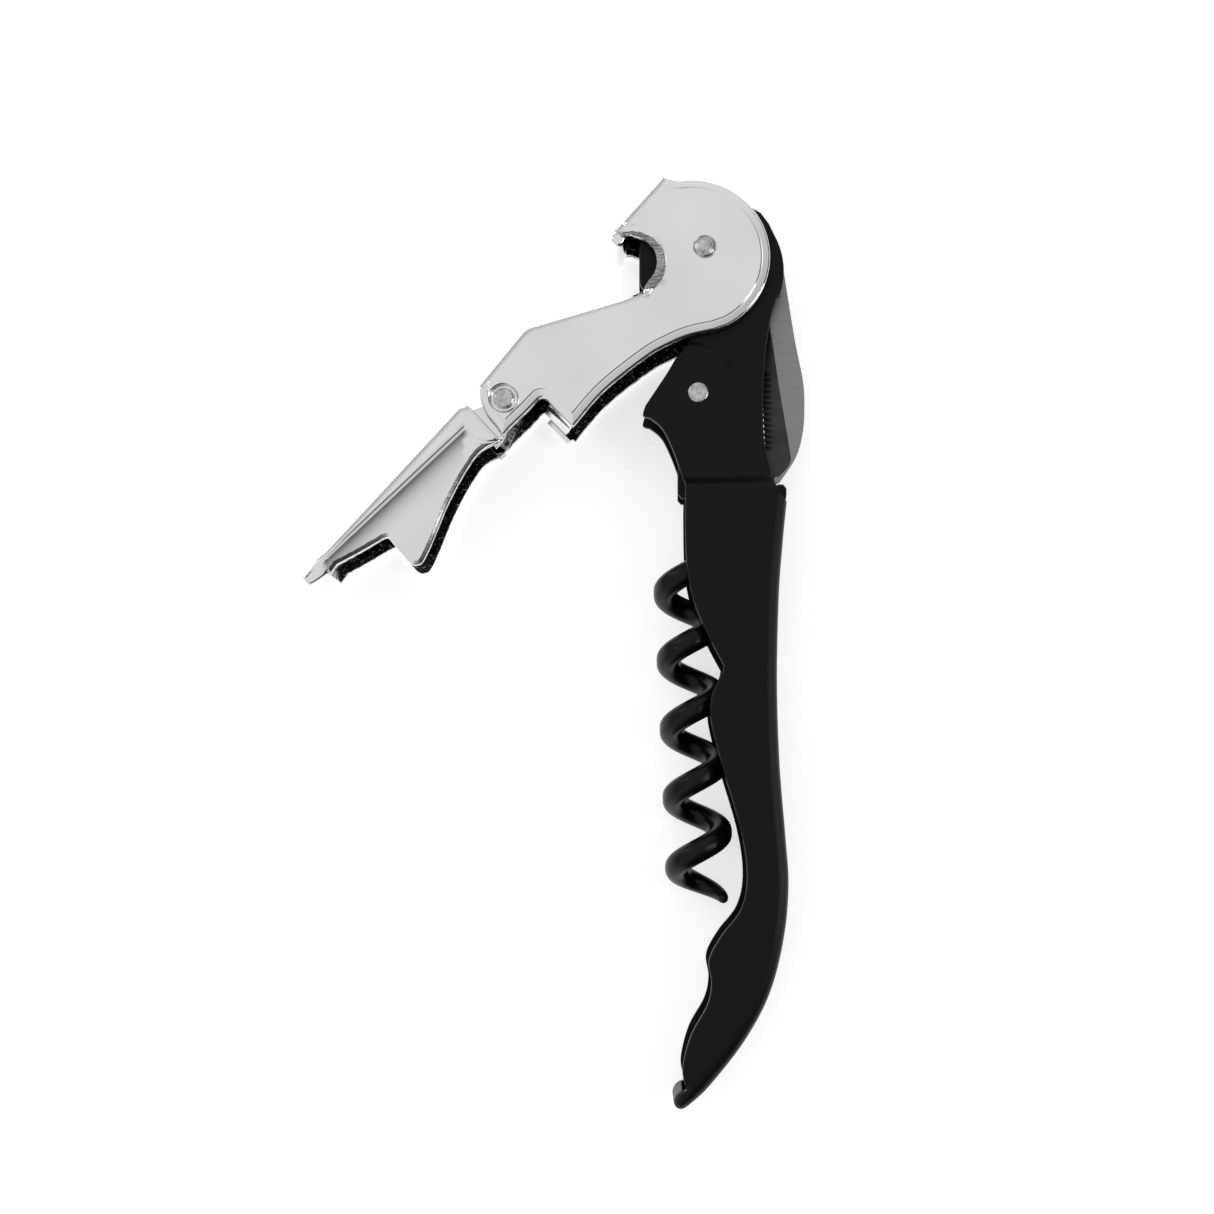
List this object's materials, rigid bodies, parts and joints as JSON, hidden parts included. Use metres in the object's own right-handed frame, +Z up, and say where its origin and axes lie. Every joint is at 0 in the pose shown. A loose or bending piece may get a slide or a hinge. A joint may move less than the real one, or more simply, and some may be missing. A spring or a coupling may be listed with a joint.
{
  "type": "lever corkscrew",
  "caption": "Double-hinged waiter's corkscrew with a folded steel handle, a two-stage lever with a cap lifter, a folding worm and a serrated foil blade.",
  "frame": {"origin": "under the middle of the bounding box, level with the lowest rivet head", "axes": "the tool lies on its side: +Y runs along the handle from the tail towards the lever head, +X from the worm side towards the back of the handle, +Z up, along every hinge axis"},
  "size_m": [0.0656, 0.1204, 0.0128],
  "materials": {
    "black_coat": "satin black powder coat on steel sheet",
    "rivet_steel": "bright rivet steel, lightly turned ends",
    "lever_chrome": "polished nickel-chrome plate on pressed steel sheet",
    "worm_coat": "satin black non-stick coating",
    "blade_steel": "satin stainless steel with a darker ground bevel",
    "spring_steel": "plain spring steel"
  },
  "bodies": {
    "handle": {"handle_frame": "black_coat", "lever_rivet": "rivet_steel", "worm_rivet": "rivet_steel", "blade_spacer_near": "rivet_steel", "blade_spacer_far": "rivet_steel"},
    "lever_upper": {"lever_upper": "lever_chrome", "mid_rivet": "rivet_steel"},
    "lever_lower": {"lever_lower": "lever_chrome"},
    "worm": {"worm": "worm_coat", "worm_holder": "black_coat"},
    "knife": {"knife_blade": "blade_steel"},
    "spring": {"back_spring": "spring_steel"}
  },
  "joints": [
    {"name": "lever_pivot", "type": "hinge", "parent": "handle", "child": "lever_upper", "pos_m": [0.0194, 0.05086, 0.00642], "axis": [0, 0, 1], "range_deg": [-93, 38]},
    {"name": "lever_mid_hinge", "type": "hinge", "parent": "lever_upper", "child": "lever_lower", "pos_m": [-0.00691, 0.03075, 0.00642], "axis": [0, 0, 1], "range_deg": [-35, 0]},
    {"name": "worm_pivot", "type": "hinge", "parent": "handle", "child": "worm", "pos_m": [0.01853, 0.03182, 0.00642], "axis": [0, 0, 1], "range_deg": [-55, 0]},
    {"name": "knife_pivot", "type": "hinge", "parent": "handle", "child": "knife", "pos_m": [0.0194, 0.05086, 0.00642], "axis": [0, 0, 1], "range_deg": [0, 112]},
    {"name": "back_spring_flex", "type": "hinge", "parent": "handle", "child": "spring", "pos_m": [0.0266, 0.00186, 0.00642], "axis": [0, 0, 1], "range_deg": [-2, 0], "stiffness_Nm_per_rad": 1.5}
  ]
}
